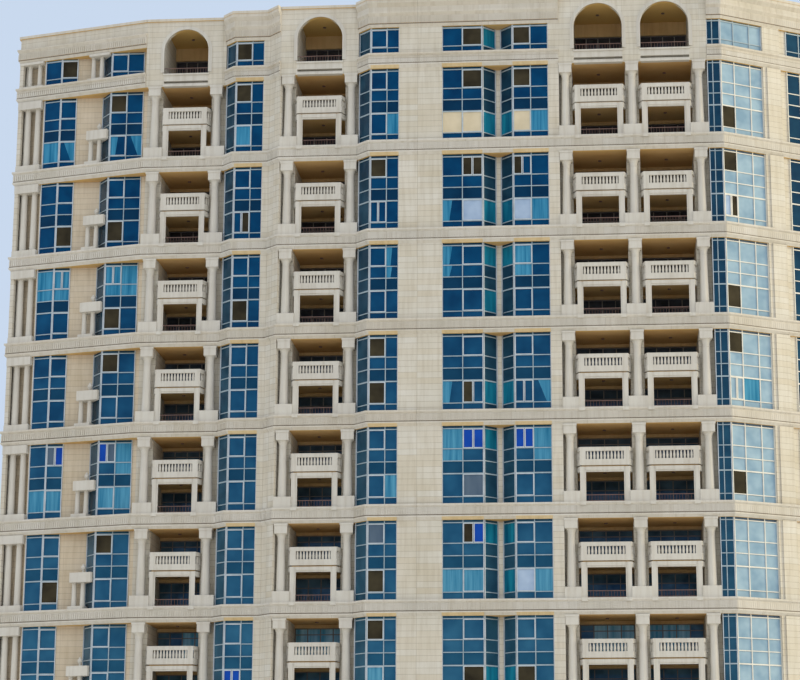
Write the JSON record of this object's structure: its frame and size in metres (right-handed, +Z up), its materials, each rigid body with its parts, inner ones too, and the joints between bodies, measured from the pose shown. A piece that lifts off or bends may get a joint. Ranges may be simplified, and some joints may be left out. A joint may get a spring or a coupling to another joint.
{
  "type": "apartment block, scale model at 1:2",
  "caption": "Apartment block with stone belts, columned balcony stacks, arched attic loggias and tall window bays, hollow, as a scale model at 1:2.",
  "frame": {"origin": "on the ground, at the bottom centre of the bounding box", "axes": "+Z up, the main front faces -Y, +X to the right as seen from the front"},
  "size_m": [31.2313, 12.48, 34.3],
  "materials": {
    "cast_stone": "matte",
    "pale_stone": "matte",
    "concrete": "matte",
    "window_glass": "gloss"
  },
  "bodies": {
    "root": {"base_slab": "concrete", "plinth": "cast_stone", "ground_piers": "cast_stone", "belt_floors": "concrete", "middle_floors": "concrete", "bay_floors": "concrete", "roof_slab": "concrete", "belt_sills": "pale_stone", "belt_friezes": "cast_stone", "belt_mouldings": "pale_stone", "front_piers": "cast_stone", "pilasters": "cast_stone", "recess_walls": "cast_stone", "side_piers": "cast_stone", "back_piers": "cast_stone", "glazing_left_wing": "window_glass", "glazing_front": "window_glass", "glazing_right_wing": "window_glass", "glazing_sides": "window_glass", "glazing_back": "window_glass", "balcony_piers": "cast_stone", "balcony_lintels": "cast_stone", "balcony_glazing": "window_glass", "balcony_soffits": "cast_stone", "balcony_kerbs": "cast_stone", "balcony_decks": "cast_stone", "balcony_frame_posts": "pale_stone", "balcony_frame_heads": "pale_stone", "balustrade_bases": "pale_stone", "balustrade_rails": "pale_stone", "balustrade_posts": "pale_stone", "balusters": "pale_stone", "pedestals": "pale_stone", "column_shafts": "pale_stone", "column_bells": "pale_stone", "capitals": "pale_stone", "urns": "pale_stone", "attic_piers": "cast_stone", "attic_arches": "cast_stone", "loggia_parapets": "pale_stone", "glazing_attic": "window_glass", "attic_wall": "cast_stone", "cornice": "pale_stone", "parapet": "cast_stone", "coping": "pale_stone"}
  },
  "joints": []
}
